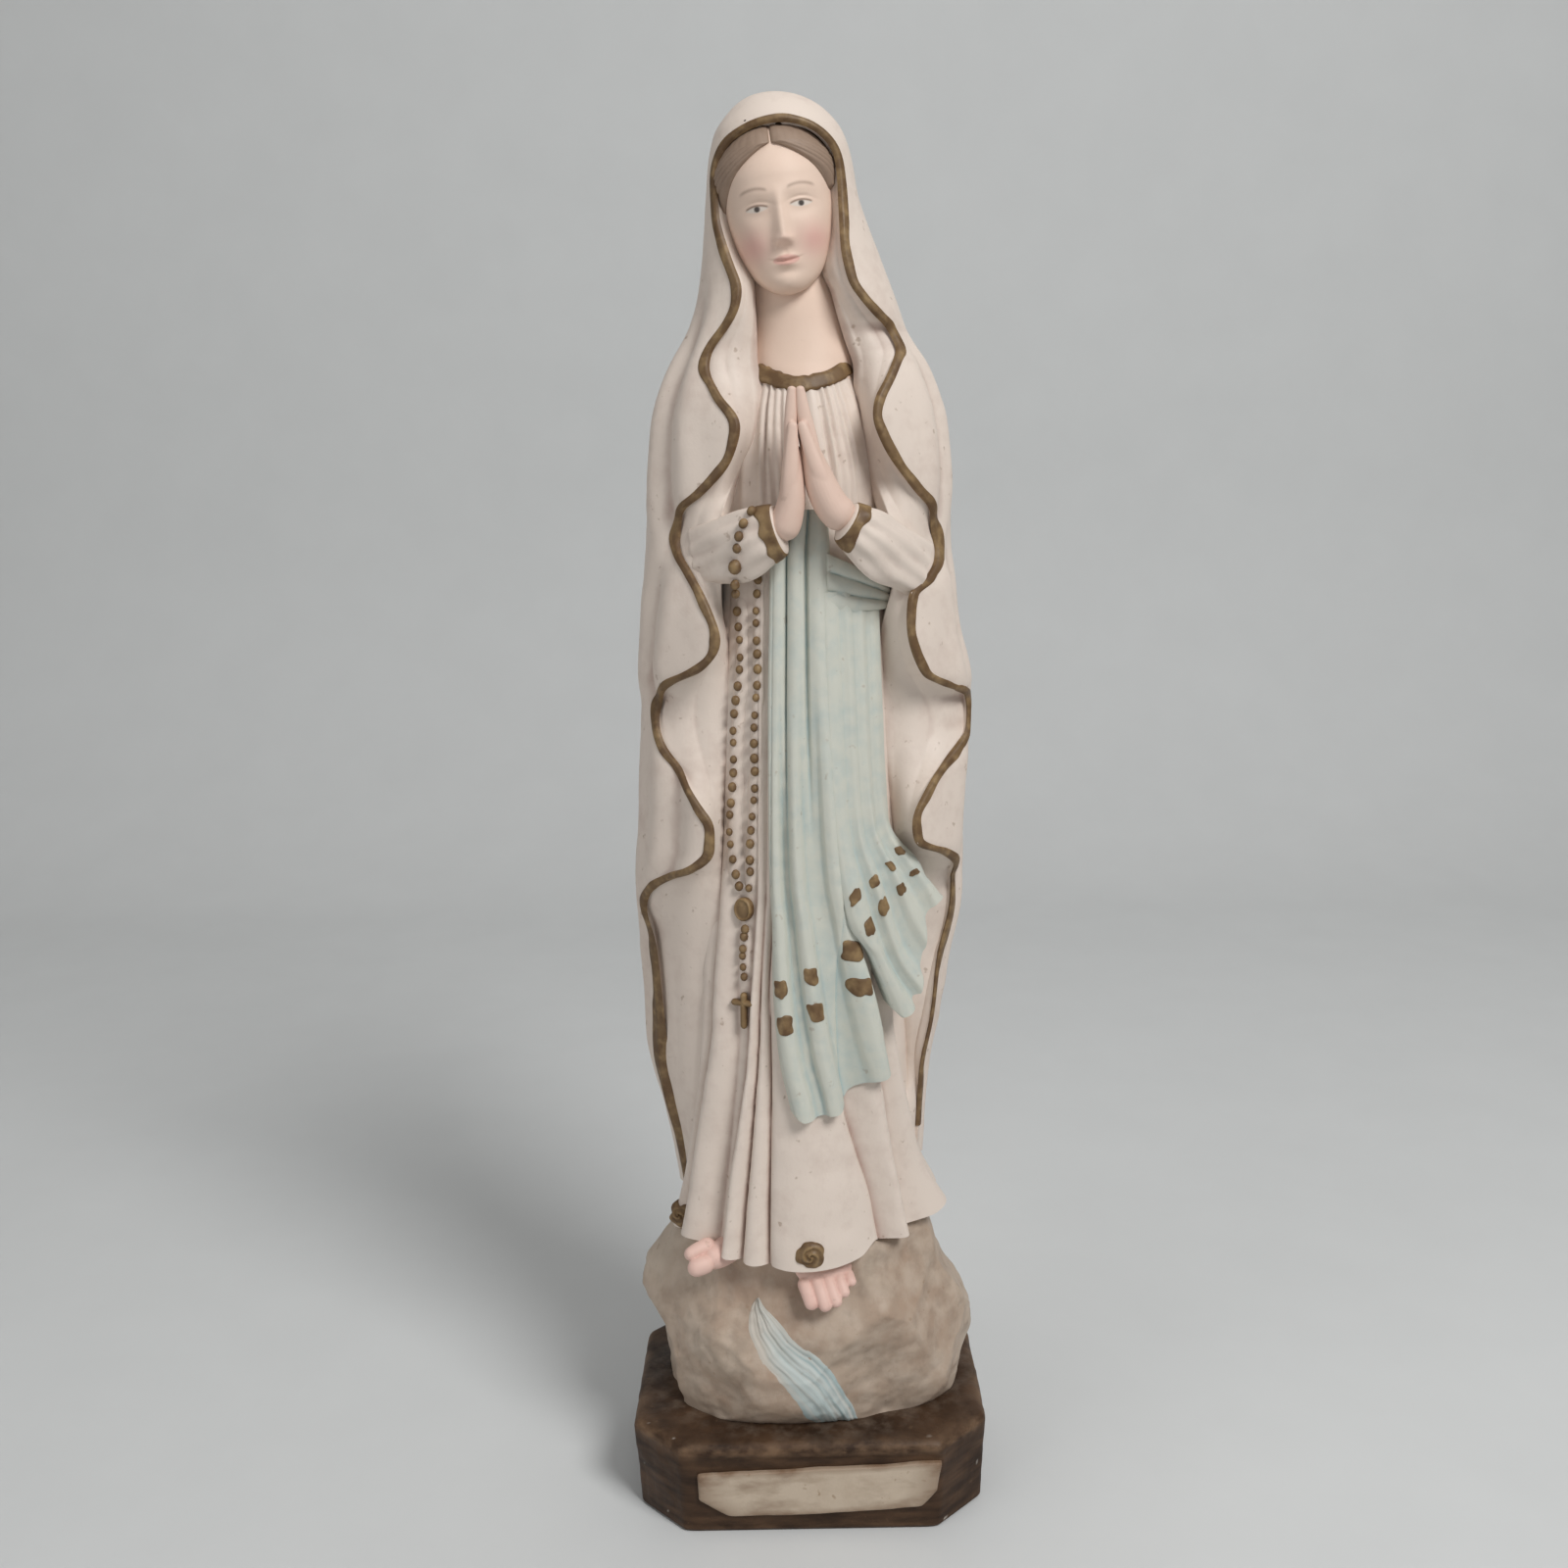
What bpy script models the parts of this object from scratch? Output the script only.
"""A praying, veiled figure on a rock and an eight-sided plinth, built as separate seated pieces.

Sizes are in millimetres and become metres when a mesh is made. The figure faces -Y, +X is on the
viewer's right, and the origin is the middle of the plinth's underside. Right and left in a name are
the figure's own, so right is -X. Angles run round the figure in degrees from the front, and are
positive towards +X.
"""

import math

import bmesh
import bpy
import numpy as np

MM = 0.001

# Driving sizes
FIT_GAP = 0.3
PLINTH_WIDTH = 57.0
PLINTH_DEPTH = 43.0
PLINTH_HEIGHT = 15.5
PLINTH_CHAMFER = 8.0
PLINTH_FLARE = 0.7
PLINTH_BEVEL = 1.6
PANEL_WIDTH = 38.5
PANEL_HEIGHT = 8.4
PANEL_MID_X = 1.4
PANEL_MID_Z = 7.6
PANEL_CORNER = 2.4
PANEL_PROUD = 0.8
PANEL_POCKET = 0.9
ROCK_TENON_RADIUS = 9.0
ROCK_TENON_LENGTH = 4.5
ROCK_HEIGHT = 28.2
GOWN_TENON_RADIUS = 5.0
GOWN_TENON_LENGTH = 8.0
NECK_TENON_RADIUS = 4.0
NECK_TENON_LENGTH = 7.5
WRIST_TENON_RADIUS = 1.5
WRIST_TENON_LENGTH = 2.2
MANTLE_THICKNESS = 1.4
TRIM_WIDTH = 1.7
TRIM_THICKNESS = 0.8
SASH_THICKNESS = 1.2
SASH_PLEAT = 0.7
BEAD_RADIUS = 0.75
BEAD_PITCH = 2.05
CHAIN_RADIUS = 0.3
MEDAL_RADIUS = 1.5
MEDAL_THICKNESS = 0.9
CROSS_HEIGHT = 5.6
CROSS_SPAN = 4.0
CROSS_BAR = 1.0
CROSS_THICKNESS = 0.8
ROSE_RADIUS = 2.1
ROSE_HEIGHT = 1.1
CUFF_LENGTH = 1.7
CUFF_THICKNESS = 0.6
FOOT_THICKNESS = 2.6
STREAM_THICKNESS = 0.9
HAIR_THICKNESS = 1.0
COLLAR_HEIGHT = 1.9
COLLAR_THICKNESS = 0.7

# Heights that follow from the driving sizes
ROCK_FLOOR = PLINTH_HEIGHT + FIT_GAP
ROCK_TOP = ROCK_FLOOR + ROCK_HEIGHT
HEM_Z = ROCK_TOP + FIT_GAP
COLLAR_Z = HEM_Z + 135.7
POCKET_FLOOR = PLINTH_DEPTH / 2 - PLINTH_FLARE - PANEL_POCKET

# The rock's outline: share of its height, half width, front and back depth
ROCK_PROFILE = [
    (0.0, 23.0, 15.5, 16.0), (0.08, 24.8, 17.4, 17.4), (0.22, 27.0, 19.6, 19.0), (0.40, 27.8, 20.5, 19.4),
    (0.57, 26.4, 20.0, 19.0), (0.75, 24.0, 19.0, 18.2), (0.86, 22.0, 18.2, 17.2), (0.965, 18.8, 16.8, 15.4),
]

# The figure's outlines: height above the hem, half width, front and back depth
GOWN_PROFILE = [
    (0.0, 19.8, 18.0, 12.6), (8.0, 18.1, 17.0, 12.6), (20.0, 16.9, 15.8, 12.8), (41.0, 16.4, 14.8, 13.2),
    (66.0, 15.8, 13.8, 13.2), (88.0, 14.8, 12.6, 13.0), (106.0, 13.6, 11.2, 12.5),
    (120.0, 13.2, 11.0, 12.3), (129.0, 11.2, 9.8, 11.5), (135.7, 8.4, 7.8, 9.5),
]
VEIL_ROOM_PROFILE = GOWN_PROFILE + [(141.0, 8.6, 7.6, 9.6), (146.5, 9.6, 7.8, 10.4)]
MANTLE_INNER_PROFILE = [
    (10.0, 19.5, 15.0, 14.0), (24.0, 20.6, 15.4, 14.6), (41.0, 22.8, 16.0, 15.4), (58.0, 24.0, 16.2, 15.9),
    (84.0, 23.8, 15.6, 16.4), (106.0, 22.7, 14.2, 16.4), (121.0, 21.7, 13.0, 16.0),
    (129.0, 20.8, 12.2, 15.4), (136.0, 18.4, 11.2, 14.4), (143.0, 14.7, 10.0, 13.4),
    (151.0, 12.7, 9.3, 12.6), (161.0, 10.6, 9.2, 11.8), (165.3, 9.9, 8.9, 10.9), (168.5, 8.9, 8.1, 9.5),
    (171.2, 6.9, 6.2, 7.4), (173.1, 4.2, 3.9, 4.6), (174.3, 1.3, 1.2, 1.4),
]
LEAN_PROFILE = [
    (-30.0, 0.0), (16.0, -0.6), (41.0, -0.6), (61.0, 0.5), (96.0, 1.0), (128.0, 1.6), (144.0, 1.5),
    (156.0, 0.0), (168.0, -0.8), (176.0, -0.9),
]

# The mantle's waved front edge: each swing's height above the hem and its angle from the front
ARCH_TOP = 169.0
RIGHT_ARCH_FOOT = 160.4
LEFT_ARCH_FOOT = 163.6
RIGHT_EDGE = [
    (10.0, 67.0), (26.0, 77.0), (50.0, 74.0), (57.0, 66.0), (62.5, 40.0), (68.0, 30.0), (87.0, 66.0),
    (98.0, 28.0), (113.0, 54.0), (127.0, 21.5), (138.5, 48.5), (147.0, 33.0), (160.4, 55.0),
]
LEFT_EDGE = [
    (10.0, 66.0), (24.0, 65.0), (46.0, 80.0), (58.0, 81.0), (68.0, 40.5), (84.5, 84.0), (99.0, 41.0),
    (110.0, 69.0), (129.0, 28.5), (139.2, 62.0), (151.0, 36.0), (163.6, 55.0),
]
RIGHT_LINING_EDGE = [
    (12.0, 60.0), (44.0, 57.0), (63.0, 47.0), (83.0, 47.0), (102.0, 49.0), (119.0, 45.0), (128.0, 36.0),
    (137.0, 44.0), (144.0, 52.0),
]
LEFT_LINING_EDGE = [
    (12.0, 70.0), (27.0, 82.0), (46.0, 85.0), (66.0, 85.0), (101.0, 80.0), (113.0, 71.0), (122.0, 54.0),
    (130.0, 56.0), (139.0, 62.0), (144.0, 62.0),
]

# Heights above the hem at which the gown's and the mantle's outlines are drawn
GOWN_ROWS = [
    2.5, 5.0, 8.0, 12.0, 16.0, 20.0, 26.0, 36.0, 46.0, 56.0, 66.0, 77.0, 88.0, 97.0, 106.0, 114.0, 120.0,
    125.0, 129.0, 132.5, 135.7,
]
MANTLE_ROWS = np.concatenate([
    np.arange(10.0, 62.0, 4.2), np.arange(62.5, 146.0, 3.8), [147.5, 151.0, 155.0, 158.0, 160.4, 162.2],
    [164.0, 165.8, 167.4, 168.4, 168.9],
])
HOOD_ROWS = np.array([170.2, 171.8, 173.2, 174.3])

# Sleeves and hands: places as x, y and height above the hem
WRISTS = {"right": (-1.6, -16.4, 113.3), "left": (8.6, -16.4, 113.9)}
ELBOWS = {"right": (-9.2, -12.6, 107.2), "left": (15.4, -11.2, 106.6)}
FINGERTIPS = {"right": (0.55, -17.0, 132.7), "left": (1.75, -17.0, 132.7)}
PALM_X = 1.15
WRIST_RADIUS = 2.7
ELBOW_RADIUS = {"right": 4.0, "left": 4.3}

# Sash: the front tail's two borders as height above the hem and angle, and the side tail's from the belt
# to its slanted end as share of its length, angle and height above the hem
BELT_SPAN = (99.4, 103.4)
SASH_FRONT_RIGHT = [(25.2, -1.6), (46.0, -6.6), (76.0, -15.0), (106.5, -19.5)]
SASH_FRONT_LEFT = [(25.2, 44.0), (45.0, 31.0), (61.0, 22.0), (83.0, 17.5), (106.5, 19.0)]
SASH_SIDE_INNER = [(0.0, 20.6, 99.0), (0.4, 20.5, 82.0), (0.7, 29.0, 63.0), (1.0, 62.0, 37.0)]
SASH_SIDE_OUTER = [(0.0, 62.0, 99.0), (0.4, 60.0, 76.0), (0.7, 68.0, 63.0), (1.0, 82.0, 54.0)]

# Rosary: its strands as height above the hem and angle, its medal and cross as angle and height
ROSARY_OUTER = [(59.6, -35.4), (68.0, -39.0), (80.0, -39.0), (92.0, -36.5), (102.5, -37.5)]
ROSARY_INNER = [(59.6, -28.6), (67.0, -27.0), (76.0, -26.2), (88.0, -25.2), (99.0, -25.4), (104.4, -26.2)]
ROSARY_DROP = [(45.0, -28.2), (53.6, -30.0)]
MEDAL_PLACE = (-31.4, 56.2)
CROSS_PLACE = (-28.0, 40.6)

# Head and neck: height above the collar, half width, front and back depth
NECK_X = 2.0
HEAD_PROFILE = [
    (0.3, 6.3, 6.0, 6.0), (4.0, 5.8, 5.1, 6.0), (8.0, 5.6, 4.8, 6.6), (10.0, 5.0, 8.4, 7.2),
    (11.2, 5.9, 9.2, 7.6), (14.0, 7.1, 9.9, 8.4), (18.0, 8.0, 10.2, 9.2), (22.0, 8.2, 10.1, 9.8),
    (26.0, 8.0, 9.6, 9.9), (29.5, 7.3, 8.4, 9.1), (32.5, 5.5, 6.1, 6.8), (34.2, 3.2, 3.4, 4.0),
    (35.0, 0.9, 1.0, 1.2),
]
HEAD_LEAN = [(0.0, 2.0), (10.0, 1.6), (20.0, 0.3), (35.0, -1.2)]
HEAD_ROWS = [
    0.3, 2.5, 5.0, 8.0, 9.0, 10.0, 11.2, 13.0, 14.5, 16.0, 17.5, 19.0, 22.0, 26.0, 29.5, 32.5, 34.2, 35.0,
]

# Paint finishes: colour, roughness
FINISHES = {
    "brown_stain": ((0.110, 0.063, 0.035), 0.55),
    "cream_panel": ((0.70, 0.60, 0.47), 0.70),
    "rock_grey": ((0.42, 0.33, 0.26), 0.75),
    "water_blue": ((0.55, 0.66, 0.65), 0.60),
    "skin": ((0.86, 0.62, 0.52), 0.55),
    "robe_white": ((0.80, 0.68, 0.60), 0.65),
    "sash_blue": ((0.60, 0.69, 0.68), 0.65),
    "gilt_brown": ((0.27, 0.16, 0.065), 0.45),
    "hair_brown": ((0.30, 0.19, 0.14), 0.65),
}


def clear_scene():
    for obj in list(bpy.data.objects):
        bpy.data.objects.remove(obj, do_unlink=True)


def finish_of(name):
    """The paint finish as a material, made once."""
    material = bpy.data.materials.get(name)
    if material is None:
        colour, roughness = FINISHES[name]
        material = bpy.data.materials.new(name)
        material.use_nodes = True
        shader = material.node_tree.nodes["Principled BSDF"]
        shader.inputs["Base Color"].default_value = (*colour, 1.0)
        shader.inputs["Roughness"].default_value = roughness
        shader.inputs["Metallic"].default_value = 0.0
    return material


def smooth_through(stations, at):
    """Values of a curve through the stations that never overshoots them (monotone cubic)."""
    table = np.asarray(stations, float)
    knots, values = table[:, 0], table[:, 1:]
    step = np.diff(knots)[:, None]
    slope = np.diff(values, axis=0) / step
    before, after = slope[:-1], slope[1:]
    same_way = before * after > 0
    total = np.where(same_way, before + after, 1.0)
    tangent = np.vstack([slope[:1], np.where(same_way, 2 * before * after / total, 0.0), slope[-1:]])
    at = np.clip(np.asarray(at, float), knots[0], knots[-1])
    span = np.clip(np.searchsorted(knots, at, side="right") - 1, 0, len(knots) - 2)
    width = step[span]
    t = ((at - knots[span])[..., None]) / width
    start = (1 + 2 * t) * (1 - t) ** 2 * values[span] + t * (1 - t) ** 2 * width * tangent[span]
    end = t * t * (3 - 2 * t) * values[span + 1] + t * t * (t - 1) * width * tangent[span + 1]
    return start + end


def oval_point(profile, lean_profile, angle, along, lift):
    """Points round a leaning oval body without their heights, pushed outwards by lift."""
    sizes = smooth_through(profile, along)
    lean = smooth_through(lean_profile, along)[..., 0]
    depth = np.where(np.cos(angle) > 0, sizes[..., 1], sizes[..., 2])
    return lean + (sizes[..., 0] + lift) * np.sin(angle), -(depth + lift) * np.cos(angle)


def figure_point(profile, angle, height, lift=0.0):
    """Points on one of the figure's outlines, by angle and height above the hem."""
    angle, height, lift = np.broadcast_arrays(np.radians(angle), height, lift)
    x, y = oval_point(profile, LEAN_PROFILE, angle, height, lift)
    return np.stack([x, y, height + HEM_Z], axis=-1)


def gown_point(angle, height, lift=0.0):
    return figure_point(GOWN_PROFILE, angle, height, lift)


def rock_point(angle, share, lift=0.0):
    """Points on the rock, by angle and share of its height."""
    angle, share, lift = np.broadcast_arrays(np.radians(angle), share, lift)
    x, y = oval_point(ROCK_PROFILE, [(0.0, 0.0), (1.0, 0.0)], angle, share, lift)
    return np.stack([x, y, ROCK_FLOOR + share * ROCK_HEIGHT], axis=-1)


def mantle_point(angle, height, out):
    """Points at a distance out from the mantle's inner face, along its normal."""
    probe = 0.05
    point = figure_point(MANTLE_INNER_PROFILE, angle, height)
    turn = figure_point(MANTLE_INNER_PROFILE, angle + probe, height) - point
    rise = point - figure_point(MANTLE_INNER_PROFILE, angle, height - probe)
    normal = np.cross(turn, rise)
    return point + out * normal / np.linalg.norm(normal, axis=-1, keepdims=True)


def edge_angle(stations, arch_foot, height):
    """How far the mantle's edge stands from the front: waved below, a quarter oval over the brow."""
    waved = smooth_through(stations, height)[..., 0]
    rise = np.clip((height - arch_foot) / (ARCH_TOP - arch_foot), 0.0, 1.0)
    return np.where(height > arch_foot, stations[-1][1] * np.sqrt(1 - rise**2), waved)


def solid(name, points, faces, finish):
    """A closed mesh object in metres, welded where points meet, with its faces turned outwards."""
    mesh = bpy.data.meshes.new(name)
    mesh.from_pydata((np.asarray(points, float).reshape(-1, 3) * MM).tolist(), [], faces)
    work = bmesh.new()
    work.from_mesh(mesh)
    bmesh.ops.remove_doubles(work, verts=work.verts, dist=1e-6)
    bmesh.ops.dissolve_degenerate(work, edges=work.edges, dist=1e-6)
    bmesh.ops.recalc_face_normals(work, faces=work.faces)
    work.to_mesh(mesh)
    work.free()
    mesh.shade_smooth()
    mesh.set_sharp_from_angle(angle=math.radians(38))
    mesh.materials.append(finish_of(finish))
    obj = bpy.data.objects.new(name, mesh)
    bpy.context.scene.collection.objects.link(obj)
    return obj


def grid_faces(rows, columns, first, wrap=False):
    """Quads of a grid of points numbered row by row from first."""
    last = columns if wrap else columns - 1
    faces = []
    for i in range(rows - 1):
        for j in range(last):
            k = (j + 1) % columns
            corner = first + i * columns
            faces.append((corner + j, corner + k, corner + columns + k, corner + columns + j))
    return faces


def loft(name, rings, finish):
    """A solid through closed rings of equal count, capped at both ends."""
    rings = np.asarray(rings, float)
    rows, columns = rings.shape[:2]
    faces = grid_faces(rows, columns, 0, wrap=True)
    faces.append(tuple(range(columns)))
    faces.append(tuple(range((rows - 1) * columns, rows * columns)))
    return solid(name, rings, faces, finish)


def slab(name, outer, inner, finish):
    """A solid between two grids of points, joined all round their borders."""
    rows, columns = outer.shape[:2]
    count = rows * columns
    faces = grid_faces(rows, columns, 0) + grid_faces(rows, columns, count)
    border = [j for j in range(columns)]
    border += [i * columns + columns - 1 for i in range(1, rows)]
    border += [(rows - 1) * columns + j for j in range(columns - 2, -1, -1)]
    border += [i * columns for i in range(rows - 2, 0, -1)]
    for a, b in zip(border, border[1:] + border[:1]):
        faces.append((a, b, b + count, a + count))
    return solid(name, np.concatenate([outer.reshape(-1, 3), inner.reshape(-1, 3)]), faces, finish)


def band(name, profile_rings, finish):
    """A ring-shaped solid: the last ring joins back to the first."""
    rings = np.asarray(profile_rings, float)
    closed = np.concatenate([rings, rings[:1]])
    return solid(name, closed, grid_faces(*closed.shape[:2], 0, wrap=True), finish)


def circle(centre, radius, count, axis=(0, 0, 1)):
    """Points of a circle about an axis; radius may be a pair for an oval."""
    axis = np.asarray(axis, float) / np.linalg.norm(axis)
    side = np.cross((0.0, -1.0, 0.0), axis)
    side /= np.linalg.norm(side)
    other = np.cross(axis, side)
    wide, deep = radius if isinstance(radius, tuple) else (radius, radius)
    turn = np.linspace(0, 2 * math.pi, count, endpoint=False)[:, None]
    return np.asarray(centre, float) + wide * np.cos(turn) * side + deep * np.sin(turn) * other


def octagon(shrink, z, per_side):
    """The plinth's outline drawn in by shrink, with each side cut into equal steps."""
    half_w, half_d = PLINTH_WIDTH / 2 - shrink, PLINTH_DEPTH / 2 - shrink
    cut = PLINTH_CHAMFER - shrink * (2 - math.sqrt(2))
    corners = [
        (-half_w + cut, -half_d), (half_w - cut, -half_d), (half_w, -half_d + cut), (half_w, half_d - cut),
        (half_w - cut, half_d), (-half_w + cut, half_d), (-half_w, half_d - cut), (-half_w, -half_d + cut),
    ]
    points = []
    for (x0, y0), (x1, y1) in zip(corners, corners[1:] + corners[:1]):
        for step in range(per_side):
            share = step / per_side
            points.append((x0 + (x1 - x0) * share, y0 + (y1 - y0) * share, z))
    return np.array(points)


def ring_facing(outline, radius, z):
    """A circle whose points stand at the same bearings as the outline's."""
    bearing = np.arctan2(outline[:, 1], outline[:, 0])
    return np.stack([radius * np.cos(bearing), radius * np.sin(bearing), np.full(len(bearing), z)], -1)


def make_plinth():
    per_side = 4
    shoulder = PLINTH_HEIGHT - PLINTH_BEVEL
    top = octagon(PLINTH_BEVEL, PLINTH_HEIGHT, per_side)
    socket = ROCK_TENON_RADIUS + 1.4 * FIT_GAP
    floor = PLINTH_HEIGHT - ROCK_TENON_LENGTH - FIT_GAP
    rings = [
        octagon(PLINTH_FLARE, 0.0, per_side),
        octagon(0.0, shoulder, per_side),
        top,
        ring_facing(top, socket, PLINTH_HEIGHT),
        ring_facing(top, socket, floor),
    ]
    plinth = loft("plinth", rings, "brown_stain")
    pocket = panel_prism("panel_pocket", FIT_GAP, POCKET_FLOOR, PLINTH_DEPTH / 2 + 2.0)
    pocket.hide_render = True
    pocket.display_type = "WIRE"
    cut = plinth.modifiers.new("panel pocket", "BOOLEAN")
    cut.operation = "DIFFERENCE"
    cut.object = pocket


def panel_outline(grow):
    """The tablet's outline: square upper corners, rounded lower ones, grown by a clearance."""
    half_w, half_h = PANEL_WIDTH / 2 + grow, PANEL_HEIGHT / 2 + grow
    corner = PANEL_CORNER + grow
    points = [(half_w, half_h), (-half_w, half_h)]
    for side, start in ((-1, 180), (1, 270)):
        for step in range(5):
            turn = math.radians(start + step * 22.5)
            x = side * (half_w - corner) + corner * math.cos(turn)
            points.append((x, -half_h + corner + corner * math.sin(turn)))
    return [(PANEL_MID_X + x, PANEL_MID_Z + z) for x, z in points]


def panel_prism(name, grow, back, front):
    """The tablet's outline carried from back to front, as distances in front of the axis."""
    outline = panel_outline(grow)
    rings = [[(x, -y, z) for x, z in outline] for y in (back, front)]
    return loft(name, rings, "cream_panel")


def make_title_panel():
    panel_prism("title_panel", 0.0, POCKET_FLOOR + FIT_GAP, PLINTH_DEPTH / 2 + PANEL_PROUD)


def make_rock():
    count = 36
    angles = np.linspace(-180, 180, count, endpoint=False)
    shares = [0.0, 0.08, 0.18, 0.30, 0.43, 0.57, 0.71, 0.82, 0.90, 0.965]
    foot = ROCK_FLOOR - ROCK_TENON_LENGTH
    mouth = GOWN_TENON_RADIUS + FIT_GAP
    turn = np.radians(angles)

    def round_ring(radius, z):
        return np.stack([radius * np.sin(turn), -radius * np.cos(turn), np.full(count, z)], -1)

    rings = [round_ring(ROCK_TENON_RADIUS, foot), round_ring(ROCK_TENON_RADIUS, ROCK_FLOOR)]
    for share in shares:
        hollow = 0.7 * np.sin(3 * turn + 10 * share) * np.sin(4.5 * share + 0.4)
        rings.append(rock_point(angles, share, np.minimum(hollow, 0.0)))
    rings.append(rock_point(angles, shares[-1], -3.0) * (1, 1, 0) + (0, 0, ROCK_TOP))
    rings.append(round_ring(mouth, ROCK_TOP))
    rings.append(round_ring(mouth, ROCK_TOP - GOWN_TENON_LENGTH - FIT_GAP))
    loft("rock", rings, "rock_grey")


def relief(name, surface, left, right, stations, columns, lift, finish):
    """A low relief on a body: rows follow the stations, between a left and a right edge angle.

    left and right give angles at each station; lift(s, t) is how far the outer face stands off the
    inner one, for s along the stations and t across them, each from 0 to 1.
    """
    stations = np.asarray(stations, float)
    across = np.linspace(0, 1, columns)
    down = np.linspace(0, 1, len(stations))
    left_angle = smooth_through(left, stations)[:, :1]
    right_angle = smooth_through(right, stations)[:, :1]
    angle = left_angle + (right_angle - left_angle) * across
    height = np.repeat(stations[:, None], columns, axis=1)
    outer = surface(angle, height, FIT_GAP + lift(down[:, None], across[None, :]))
    inner = surface(angle, height, FIT_GAP)
    return slab(name, outer, inner, finish)


def make_stream():
    left = [(0.07, -2.5), (0.35, -10.0), (0.60, -19.0), (0.76, -22.0)]
    right = [(0.07, 24.0), (0.35, 13.0), (0.60, -4.0), (0.76, -19.0)]

    def lift(s, t):
        return STREAM_THICKNESS * (0.25 + 0.75 * np.sin(math.pi * t)) * np.ones_like(s)

    relief("stream", rock_point, left, right, np.linspace(0.07, 0.76, 9), 7, lift, "water_blue")


def make_foot(name, toe_angle, heel_angle, toe_half, heel_half):
    """A foot lying down the rock's slope: it narrows from the toes to the hem above."""
    low, high = 0.74, 0.957
    left = [(low, toe_angle - toe_half), (high, heel_angle - heel_half)]
    right = [(low, toe_angle + toe_half), (high, heel_angle + heel_half)]

    def lift(s, t):
        return FOOT_THICKNESS * np.sqrt(np.clip(1 - (2 * t - 1) ** 2, 0.04, 1)) * (0.45 + 0.55 * s**0.6)

    relief(name, rock_point, left, right, np.linspace(low, high, 6), 7, lift, "skin")


def hem_fold(angle, height):
    """How far the gown's flared folds stand out, fading upwards from the hem."""
    angle = np.radians(np.asarray(angle, float))
    fade = np.clip(1 - np.asarray(height, float) / 24.0, 0, 1) * np.clip(1.4 * np.cos(angle / 2), 0, 1)
    return 1.3 * fade * fade * (0.5 + 0.5 * np.cos(9 * angle))


def make_gown():
    front = np.arange(-120, 120.1, 10.0)
    back = np.arange(138, 223, 16.8)
    angles = np.concatenate([front, back])
    turn = np.radians(angles)
    count = len(angles)

    def round_ring(centre_x, radius, z):
        return np.stack([centre_x + radius * np.sin(turn), -radius * np.cos(turn), np.full(count, z)], -1)

    side_rise = np.where(np.sin(turn) > 0, 4.5, 2.5) * np.abs(np.sin(turn)) ** 3
    hem = gown_point(angles, 0.0, hem_fold(angles, 0.0)) + side_rise[:, None] * (0, 0, 1)
    rings = [
        round_ring(0.0, GOWN_TENON_RADIUS, HEM_Z - GOWN_TENON_LENGTH),
        round_ring(0.0, GOWN_TENON_RADIUS, HEM_Z),
        gown_point(angles, 0.0, -4.5),
        hem,
    ]
    for height in GOWN_ROWS:
        row = gown_point(angles, height, hem_fold(angles, height))
        share = max(0.0, 1 - height / 12.0)
        rings.append(row + (side_rise * share)[:, None] * (0, 0, 1))
    socket = NECK_TENON_RADIUS + FIT_GAP
    rings.append(round_ring(NECK_X, socket, COLLAR_Z))
    rings.append(round_ring(NECK_X, socket, COLLAR_Z - NECK_TENON_LENGTH - FIT_GAP))
    loft("gown", rings, "robe_white")


def make_collar():
    low = COLLAR_Z - HEM_Z - COLLAR_HEIGHT - 2.2
    angles = np.linspace(-34, 54, 15)
    dip = 1.6 * np.sin(np.radians(angles - 8.0)) ** 2
    edges = [low + dip, low + dip + COLLAR_HEIGHT]
    outer = np.array([gown_point(angles, edge, FIT_GAP + COLLAR_THICKNESS) for edge in edges])
    inner = np.array([gown_point(angles, edge, FIT_GAP) for edge in edges])
    slab("collar_band", outer, inner, "gilt_brown")


def make_rose(name, angle, height):
    """A five-petalled rose lying flat on the gown."""
    centre = gown_point(angle, height, 2 * FIT_GAP + hem_fold(0.0, height))
    outward = gown_point(angle, height, 1.0) - gown_point(angle, height, 0.0)
    petals = 1 + 0.14 * np.cos(5 * np.linspace(0, 2 * math.pi, 20, endpoint=False))[:, None]
    rings = []
    for share, rise in ((1.0, 0.0), (0.95, 0.5), (0.6, 0.85), (0.25, 1.0)):
        middle = centre + outward / np.linalg.norm(outward) * ROSE_HEIGHT * rise
        flat = circle((0, 0, 0), ROSE_RADIUS * share, 20, outward)
        rings.append(middle + flat * petals)
    loft(name, rings, "gilt_brown")


def above_hem(place):
    """A place given as x, y and height above the hem."""
    return np.array(place) + (0.0, 0.0, HEM_Z)


def make_sleeve(side):
    """A bell sleeve from the elbow to the wrist, with a socket that takes the hand's tenon."""
    wrist, elbow = above_hem(WRISTS[side]), above_hem(ELBOWS[side])
    axis = elbow - wrist
    count = 16
    socket = WRIST_TENON_RADIUS + FIT_GAP
    depth = (WRIST_TENON_LENGTH + FIT_GAP) / np.linalg.norm(axis)
    rings = [circle(wrist + axis * depth, socket, count, axis), circle(wrist, socket, count, axis)]
    for share in (0.0, 0.3, 0.6, 0.85, 1.0):
        swell = WRIST_RADIUS + (ELBOW_RADIUS[side] - WRIST_RADIUS) * math.sin(share * math.pi / 2)
        rings.append(circle(wrist + axis * share, swell, count, axis))
    rings.append(circle(wrist + axis * 1.08, ELBOW_RADIUS[side] * 0.7, count, axis))
    loft(f"{side}_sleeve", rings, "robe_white")


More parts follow.
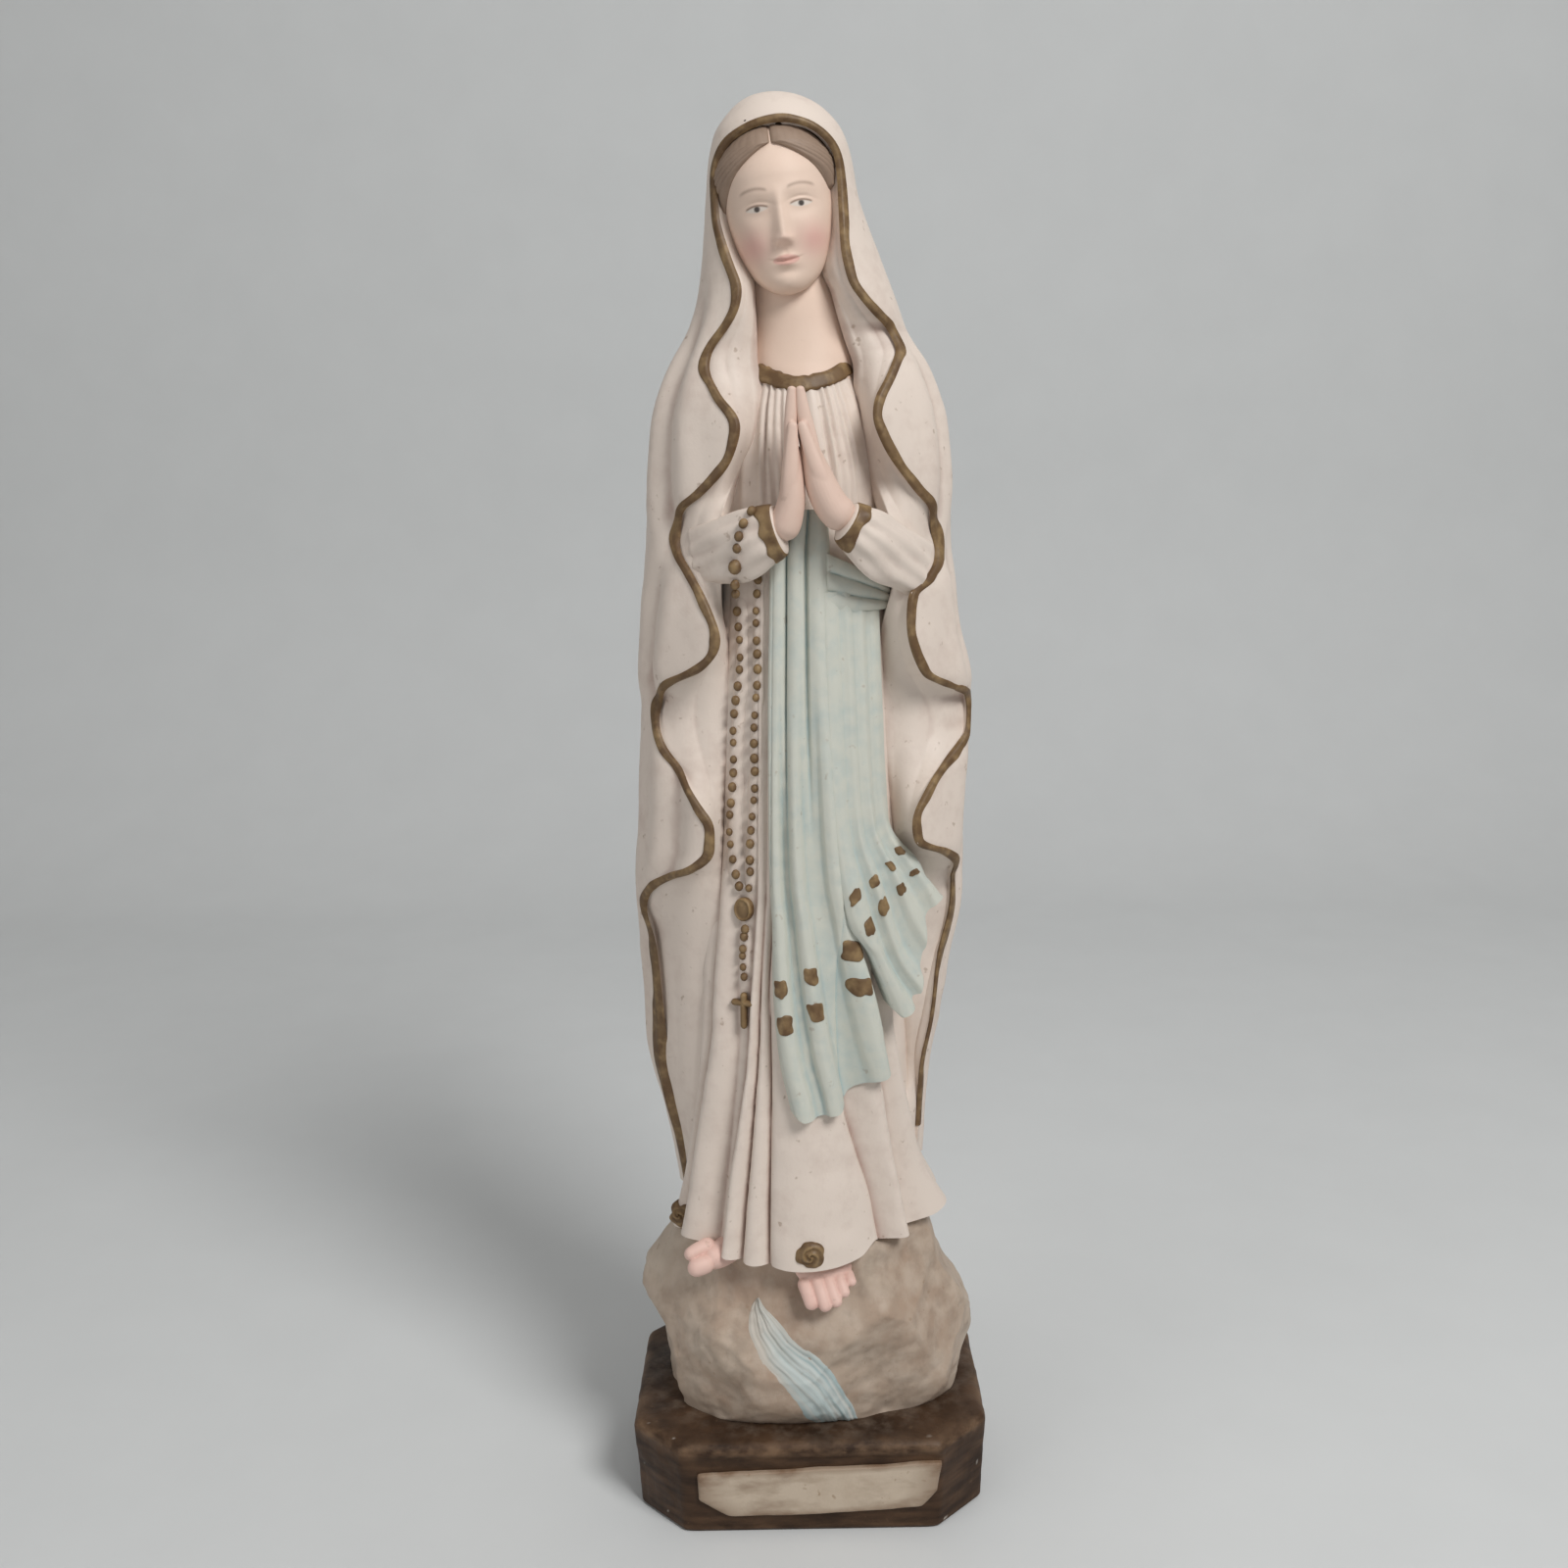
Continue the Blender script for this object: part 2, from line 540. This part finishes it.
def make_cuff(side):
    """A gilt band round the sleeve's wrist end."""
    wrist, elbow = above_hem(WRISTS[side]), above_hem(ELBOWS[side])
    axis = (elbow - wrist) / np.linalg.norm(elbow - wrist)
    reach = np.linalg.norm(elbow - wrist)
    rings = []
    for along, out in ((0.0, 0.0), (0.0, 1.0), (CUFF_LENGTH, 1.0), (CUFF_LENGTH, 0.0)):
        growth = (ELBOW_RADIUS[side] - WRIST_RADIUS) * math.sin(along / reach * math.pi / 2)
        radius = WRIST_RADIUS + growth + FIT_GAP + out * CUFF_THICKNESS
        rings.append(circle(wrist + axis * along, radius, 16, axis))
    band(f"{side}_cuff", rings, "gilt_brown")


def make_hand(side):
    """A flat hand, palm to the middle, fingers up, with a tenon that fills the sleeve's socket."""
    wrist, tip = above_hem(WRISTS[side]), above_hem(FINGERTIPS[side])
    forearm = wrist - above_hem(ELBOWS[side])
    forearm /= np.linalg.norm(forearm)
    outward = -1 if side == "right" else 1
    count = 14
    start = wrist + forearm * FIT_GAP
    rings = [
        circle(wrist - forearm * WRIST_TENON_LENGTH, WRIST_TENON_RADIUS, count, forearm),
        circle(start, WRIST_TENON_RADIUS, count, forearm),
        circle(start + forearm * 0.9, 1.9, count, forearm),
    ]
    # height share, thickness away from the palm line, half width across the fingers
    sections = [
        (0.2, 3.2, 2.6), (0.34, 3.1, 3.1), (0.5, 2.6, 3.0), (0.7, 2.1, 2.6), (0.88, 1.6, 1.9),
        (1.0, 0.7, 0.8),
    ]
    for share, thick, wide in sections:
        z = wrist[2] + (tip[2] - wrist[2]) * share
        inner = PALM_X + (FIT_GAP / 2 + 1.5 * (1 - share) ** 2) * outward
        centre = (inner + thick / 2 * outward, wrist[1] + (tip[1] - wrist[1]) * share, z)
        rings.append(circle(centre, (thick / 2, wide), count, (0, 0, 1)))
    loft(f"{side}_hand", rings, "skin")


def make_sash():
    def belt_lift(s, t):
        return SASH_THICKNESS + 0.4 * SASH_PLEAT * np.cos(6 * math.pi * s) * np.ones_like(t)

    low, high = BELT_SPAN
    relief("sash_belt", gown_point, [(low, 21.0), (high, 21.0)], [(low, 74.0), (high, 72.0)],
           np.linspace(high, low, 7), 9, belt_lift, "sash_blue")

    def front_lift(s, t):
        return SASH_THICKNESS + SASH_PLEAT * np.cos(6 * math.pi * t) * np.ones_like(s)

    rows = np.linspace(SASH_FRONT_LEFT[-1][0], SASH_FRONT_LEFT[0][0], 15)
    relief("sash_front_tail", gown_point, SASH_FRONT_RIGHT, SASH_FRONT_LEFT, rows, 13,
           front_lift, "sash_blue")
    make_sash_side_tail()


def make_sash_side_tail():
    down = np.linspace(0, 1, 12)
    across = np.linspace(0, 1, 11)[None, :, None]
    inner_edge = smooth_through(SASH_SIDE_INNER, down)[:, None, :]
    outer_edge = smooth_through(SASH_SIDE_OUTER, down)[:, None, :]
    place = inner_edge + (outer_edge - inner_edge) * across
    hang = 3.4 * down[:, None] ** 3 * across[..., 0] ** 2
    pleat = SASH_THICKNESS + SASH_PLEAT * np.cos(6 * math.pi * across[..., 0])
    outer = gown_point(place[..., 0], place[..., 1], FIT_GAP + hang + pleat)
    inner = gown_point(place[..., 0], place[..., 1], FIT_GAP + hang)
    slab("sash_side_tail", outer, inner, "sash_blue")


def bead_strand(name, path, beads, radius=BEAD_RADIUS):
    """Round beads on a chain, as one turned strand along a path of points."""
    path = np.asarray(path, float)
    length = np.concatenate([[0.0], np.cumsum(np.linalg.norm(np.diff(path, axis=0), axis=1))])
    pitch = length[-1] / beads
    # along one pitch: share of the pitch and radius, from the chain over a bead to the next chain
    stages = [(0.0, CHAIN_RADIUS), (0.3, radius), (0.7, radius)]
    turned = [(bead + share, thick) for bead in range(beads) for share, thick in stages]
    rings = []
    for share, thick in turned + [(beads, CHAIN_RADIUS)]:
        reach = share * pitch
        centre, ahead, behind = (
            np.array([np.interp(reach + step, length, path[:, k]) for k in range(3)])
            for step in (0.0, 0.2, -0.2)
        )
        rings.append(circle(centre, thick, 5, ahead - behind))
    loft(name, rings, "gilt_brown")


def gown_path(stations, lift, steps=40):
    """Points down the gown through (height, angle) stations, top first."""
    heights = np.linspace(stations[-1][0], stations[0][0], steps)
    return gown_point(smooth_through(stations, heights)[:, 0], heights, lift)


def make_rosary():
    lift = FIT_GAP + BEAD_RADIUS
    for name, stations in (("rosary_outer_strand", ROSARY_OUTER), ("rosary_inner_strand", ROSARY_INNER),
                           ("rosary_drop", ROSARY_DROP)):
        path = gown_path(stations, lift)
        length = np.linalg.norm(np.diff(path, axis=0), axis=1).sum()
        bead_strand(name, path, round(length / BEAD_PITCH))
    make_wrist_strand()
    make_medal()
    make_crucifix()


def make_wrist_strand():
    """Small beads over the front of the right sleeve."""
    wrist, elbow = above_hem(WRISTS["right"]), above_hem(ELBOWS["right"])
    axis = (elbow - wrist) / np.linalg.norm(elbow - wrist)
    middle = wrist + (elbow - wrist) * 0.62
    radius = WRIST_RADIUS + (ELBOW_RADIUS["right"] - WRIST_RADIUS) * math.sin(0.62 * math.pi / 2)
    up = np.array((0.0, 0.0, 1.0)) - axis * axis[2]
    up /= np.linalg.norm(up)
    front = np.cross(axis, up)
    front *= np.sign(-front[1])
    reach = radius + 1.5 * FIT_GAP + BEAD_RADIUS * 0.8
    turns = np.radians(np.linspace(62, -40, 16))[:, None]
    path = middle + reach * (np.cos(turns) * front + np.sin(turns) * up)
    bead_strand("rosary_wrist_strand", path, 4, BEAD_RADIUS * 0.8)


def make_medal():
    angle, height = MEDAL_PLACE
    outward = gown_point(angle, height, 1.0) - gown_point(angle, height, 0.0)
    outward /= np.linalg.norm(outward)
    centre = gown_point(angle, height, 2 * FIT_GAP)
    rings = []
    for share, rise in ((1.0, 0.0), (1.0, 0.6), (0.75, 1.0)):
        rings.append(circle(centre + outward * MEDAL_THICKNESS * rise, MEDAL_RADIUS * share, 16, outward))
    loft("rosary_medal", rings, "gilt_brown")


def make_crucifix():
    """A plain Latin cross lying against the gown."""
    angle, height = CROSS_PLACE
    outward = gown_point(angle, height, 1.0) - gown_point(angle, height, 0.0)
    outward /= np.linalg.norm(outward)
    side = np.cross((0.0, 0.0, 1.0), outward)
    side *= -np.sign(-side[0])
    side /= np.linalg.norm(side)
    up = np.array((0.0, 0.0, 1.0))
    bar, arm = CROSS_BAR / 2, CROSS_SPAN / 2
    low, high = -CROSS_HEIGHT / 2, CROSS_HEIGHT / 2
    cross_low, cross_high = high * 0.25 - bar, high * 0.25 + bar
    outline = [
        (-bar, low), (bar, low), (bar, cross_low), (arm, cross_low), (arm, cross_high), (bar, cross_high),
        (bar, high), (-bar, high), (-bar, cross_high), (-arm, cross_high), (-arm, cross_low),
        (-bar, cross_low),
    ]
    centre = gown_point(angle, height, 2 * FIT_GAP)
    rings = []
    for rise in (0.0, CROSS_THICKNESS):
        rings.append([centre + outward * rise + side * x + up * z for x, z in outline])
    loft("rosary_crucifix", rings, "gilt_brown")


def mantle_sweep(height, columns):
    """Angles across the mantle at a height, from its right edge round the back to its left edge."""
    start = edge_angle(RIGHT_EDGE, RIGHT_ARCH_FOOT, height)
    end = 360 - edge_angle(LEFT_EDGE, LEFT_ARCH_FOOT, height)
    return -(start + (end - start) * np.linspace(0, 1, columns))


def make_mantle():
    """One shell over the head and shoulders, open at the front between its waved edges."""
    columns = 19
    rows = len(MANTLE_ROWS)
    heights = np.concatenate([MANTLE_ROWS, HOOD_ROWS])
    angles = np.array([mantle_sweep(h, columns) for h in heights])
    places = np.repeat(heights[:, None], columns, axis=1)
    outer = mantle_point(angles, places, MANTLE_THICKNESS)
    inner = mantle_point(angles, places, 0.0)
    total = len(heights) * columns
    faces = grid_faces(len(heights), columns, 0) + grid_faces(len(heights), columns, total)
    for i in range(rows - 1):
        for edge in (0, columns - 1):
            a, b = i * columns + edge, (i + 1) * columns + edge
            faces.append((a, b, b + total, a + total))
    for j in range(columns - 1):
        faces.append((j, j + 1, j + 1 + total, j + total))
    crown = (len(heights) - 1) * columns
    faces.append(tuple(range(crown, crown + columns - 1)))
    faces.append(tuple(range(crown + total, crown + total + columns - 1)))
    seam = [rows * columns + i * columns for i in range(len(HOOD_ROWS))]
    for k in seam:
        outer.reshape(-1, 3)[k + columns - 1] = outer.reshape(-1, 3)[k]
        inner.reshape(-1, 3)[k + columns - 1] = inner.reshape(-1, 3)[k]
    # the two edges meet over the brow
    bridge = (rows - 1) * columns
    faces.append((bridge, bridge + columns - 1, bridge + columns - 1 + total, bridge + total))
    faces.append((bridge, bridge + columns - 1, bridge + columns))
    faces.append((bridge + total, bridge + columns - 1 + total, bridge + columns + total))
    solid("mantle", np.concatenate([outer.reshape(-1, 3), inner.reshape(-1, 3)]), faces, "robe_white")


def make_trim():
    """A gilt border lying along the mantle's whole front edge, over the brow and down both sides."""
    right = [(-edge_angle(RIGHT_EDGE, RIGHT_ARCH_FOOT, h), h) for h in MANTLE_ROWS]
    left = [(edge_angle(LEFT_EDGE, LEFT_ARCH_FOOT, h), h) for h in MANTLE_ROWS[::-1]]
    route = np.array(right + left, float)
    path = mantle_point(route[:, 0], route[:, 1], MANTLE_THICKNESS)
    outward = mantle_point(route[:, 0], route[:, 1], MANTLE_THICKNESS + 1.0) - path
    along = np.gradient(path, axis=0)
    inward = np.cross(outward, along)
    inward /= np.linalg.norm(inward, axis=1, keepdims=True)
    columns = [path + inward * TRIM_WIDTH * share for share in (0.0, 0.5, 1.0)]
    seat = 1.8 * FIT_GAP
    low = np.stack([c + outward * seat for c in columns], axis=1)
    rise = (0.6, 1.0, 0.6)
    high = np.stack([c + outward * (seat + TRIM_THICKNESS * r) for c, r in zip(columns, rise)], axis=1)
    slab("mantle_trim", high, low, "gilt_brown")


def make_lining():
    """The mantle's inner layer, wrapped round the gown from one front edge to the other."""
    rows = [h for h in GOWN_ROWS if h > 11.0] + [139.0, 142.0, 144.0]
    columns = 16
    outer, inner = [], []
    for height in rows:
        start = smooth_through(RIGHT_LINING_EDGE, height)[0]
        end = 360 - smooth_through(LEFT_LINING_EDGE, height)[0]
        angles = -np.linspace(start, end, columns)
        # room for the gown's folds below, and for its steep shoulders above
        room = FIT_GAP + hem_fold(0.0, height) + 0.5 * np.clip((height - 106.0) / 12.0, 0, 1)
        inner.append(figure_point(VEIL_ROOM_PROFILE, angles, np.full(columns, height), room))
        outer.append(mantle_point(angles, np.full(columns, height), -2.8 * FIT_GAP))
    slab("mantle_lining", np.array(outer), np.array(inner), "robe_white")


def head_point(angle, height, lift=0.0):
    """A point on the head, by angle and height above the collar."""
    angle, height, lift = np.broadcast_arrays(np.radians(angle), height, lift)
    x, y = oval_point(HEAD_PROFILE, HEAD_LEAN, angle, height, lift)
    nose = 1.5 * np.exp(-((angle / 0.2) ** 2)) * np.clip(1 - ((height - 16.0) / 3.0) ** 2, 0, 1)
    return np.stack([x, y - nose, height + COLLAR_Z], axis=-1)


def make_head():
    count = 24
    angles = np.linspace(-180, 180, count, endpoint=False)
    turn = np.radians(angles)
    rings = []
    for z in (COLLAR_Z - NECK_TENON_LENGTH, COLLAR_Z + FIT_GAP):
        x = NECK_X + NECK_TENON_RADIUS * np.sin(turn)
        rings.append(np.stack([x, -NECK_TENON_RADIUS * np.cos(turn), np.full(count, z)], -1))
    for height in HEAD_ROWS:
        rings.append(head_point(angles, height))
    loft("head", rings, "skin")


def make_hair(side):
    """A smooth lock from the middle parting over the temple, under the hood."""
    sign = -1 if side == "right" else 1
    parting = -5.0
    bearing = np.linspace(parting + sign * 1.5, sign * 74.0, 9)
    reach = np.abs(bearing - parting) / 90.0
    low = 29.2 - 8.6 * reach**1.4
    high = 32.6 - 6.0 * reach**1.6
    share = np.linspace(0, 1, 5)[:, None]
    height = low + (high - low) * share
    angle = np.repeat(bearing[None, :], 5, axis=0)
    lift = FIT_GAP + HAIR_THICKNESS * (0.55 + 0.45 * np.sin(math.pi * share))
    slab(f"{side}_hair", head_point(angle, height, lift), head_point(angle, height, FIT_GAP), "hair_brown")


def main():
    clear_scene()
    make_plinth()
    make_title_panel()
    make_rock()
    make_stream()
    make_foot("right_foot", -62.0, -44.0, 9.0, 9.0)
    make_foot("left_foot", 7.5, 9.0, 10.0, 7.0)
    make_gown()
    make_collar()
    make_rose("right_rose", -58.0, 5.0)
    make_rose("left_rose", 4.0, 4.5)
    for side in ("right", "left"):
        make_sleeve(side)
        make_cuff(side)
        make_hand(side)
        make_hair(side)
    make_sash()
    make_rosary()
    make_lining()
    make_mantle()
    make_trim()
    make_head()


main()
